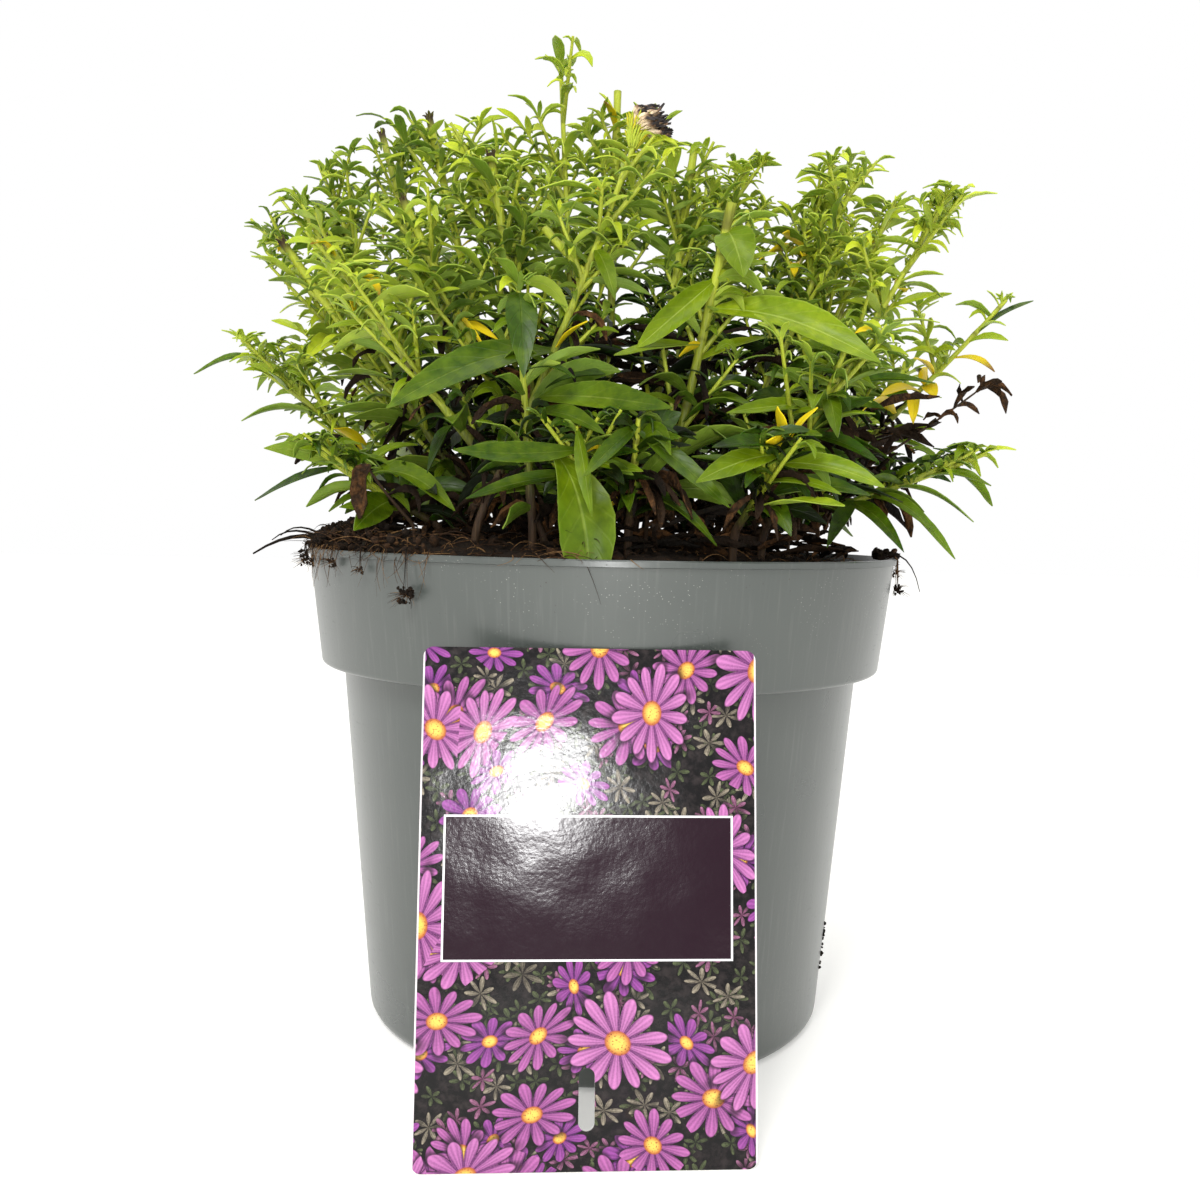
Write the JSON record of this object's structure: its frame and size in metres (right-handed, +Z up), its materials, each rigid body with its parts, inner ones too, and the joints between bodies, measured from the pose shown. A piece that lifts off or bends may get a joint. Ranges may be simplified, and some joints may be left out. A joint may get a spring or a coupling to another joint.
{
  "type": "potted dwarf purple aster",
  "caption": "Bushy aster cut back after flowering, shooting again from leafy stems, in a round tapered nursery pot with a stacking collar and a leaning picture label.",
  "frame": {"origin": "middle of the pot's base, on the surface it stands on", "axes": "+Z up along the pot's axis, -Y towards the side where the picture label leans"},
  "size_m": [0.277, 0.2383, 0.3099],
  "materials": {
    "pot_plastic": "grey injection-moulded polypropylene with a soft sheen and paler worn edges",
    "peat": "moist dark fibrous peat compost",
    "label_card": "glossy printed plastic card in purple and dark green",
    "dry_seed_head": "dry beige and brown bristles",
    "leafy_green": "soft living leaves and ribbed stems, fresh yellow-green to mid green",
    "withered_brown": "dead brown stems and curled leaves"
  },
  "bodies": {
    "root": {"pot": "pot_plastic", "soil": "peat", "label": "label_card", "seed_head": "dry_seed_head", "stem_1": "leafy_green", "stem_2": "leafy_green", "stem_3": "leafy_green", "stem_4": "leafy_green", "stem_5": "leafy_green", "stem_6": "leafy_green", "stem_7": "leafy_green", "stem_8": "leafy_green", "stem_9": "leafy_green", "stem_10": "leafy_green", "stem_11": "leafy_green", "stem_12": "leafy_green", "stem_13": "leafy_green", "stem_14": "leafy_green", "stem_15": "leafy_green", "stem_16": "leafy_green", "stem_17": "leafy_green", "stem_18": "leafy_green", "stem_19": "leafy_green", "stem_20": "leafy_green", "stem_21": "leafy_green", "stem_22": "leafy_green", "stem_23": "leafy_green", "stem_24": "leafy_green", "stem_25": "leafy_green", "stem_26": "leafy_green", "stem_27": "leafy_green", "stem_28": "leafy_green", "stem_29": "leafy_green", "stem_30": "leafy_green", "stem_31": "leafy_green", "stem_32": "leafy_green", "stem_33": "leafy_green", "stem_34": "leafy_green", "stem_35": "leafy_green", "stem_36": "leafy_green", "stem_37": "leafy_green", "stem_38": "leafy_green", "stem_39": "leafy_green", "stem_40": "leafy_green", "stem_41": "leafy_green", "stem_42": "leafy_green", "withered_1": "withered_brown", "withered_2": "withered_brown", "withered_3": "withered_brown", "withered_4": "withered_brown", "withered_5": "withered_brown"}
  },
  "joints": []
}
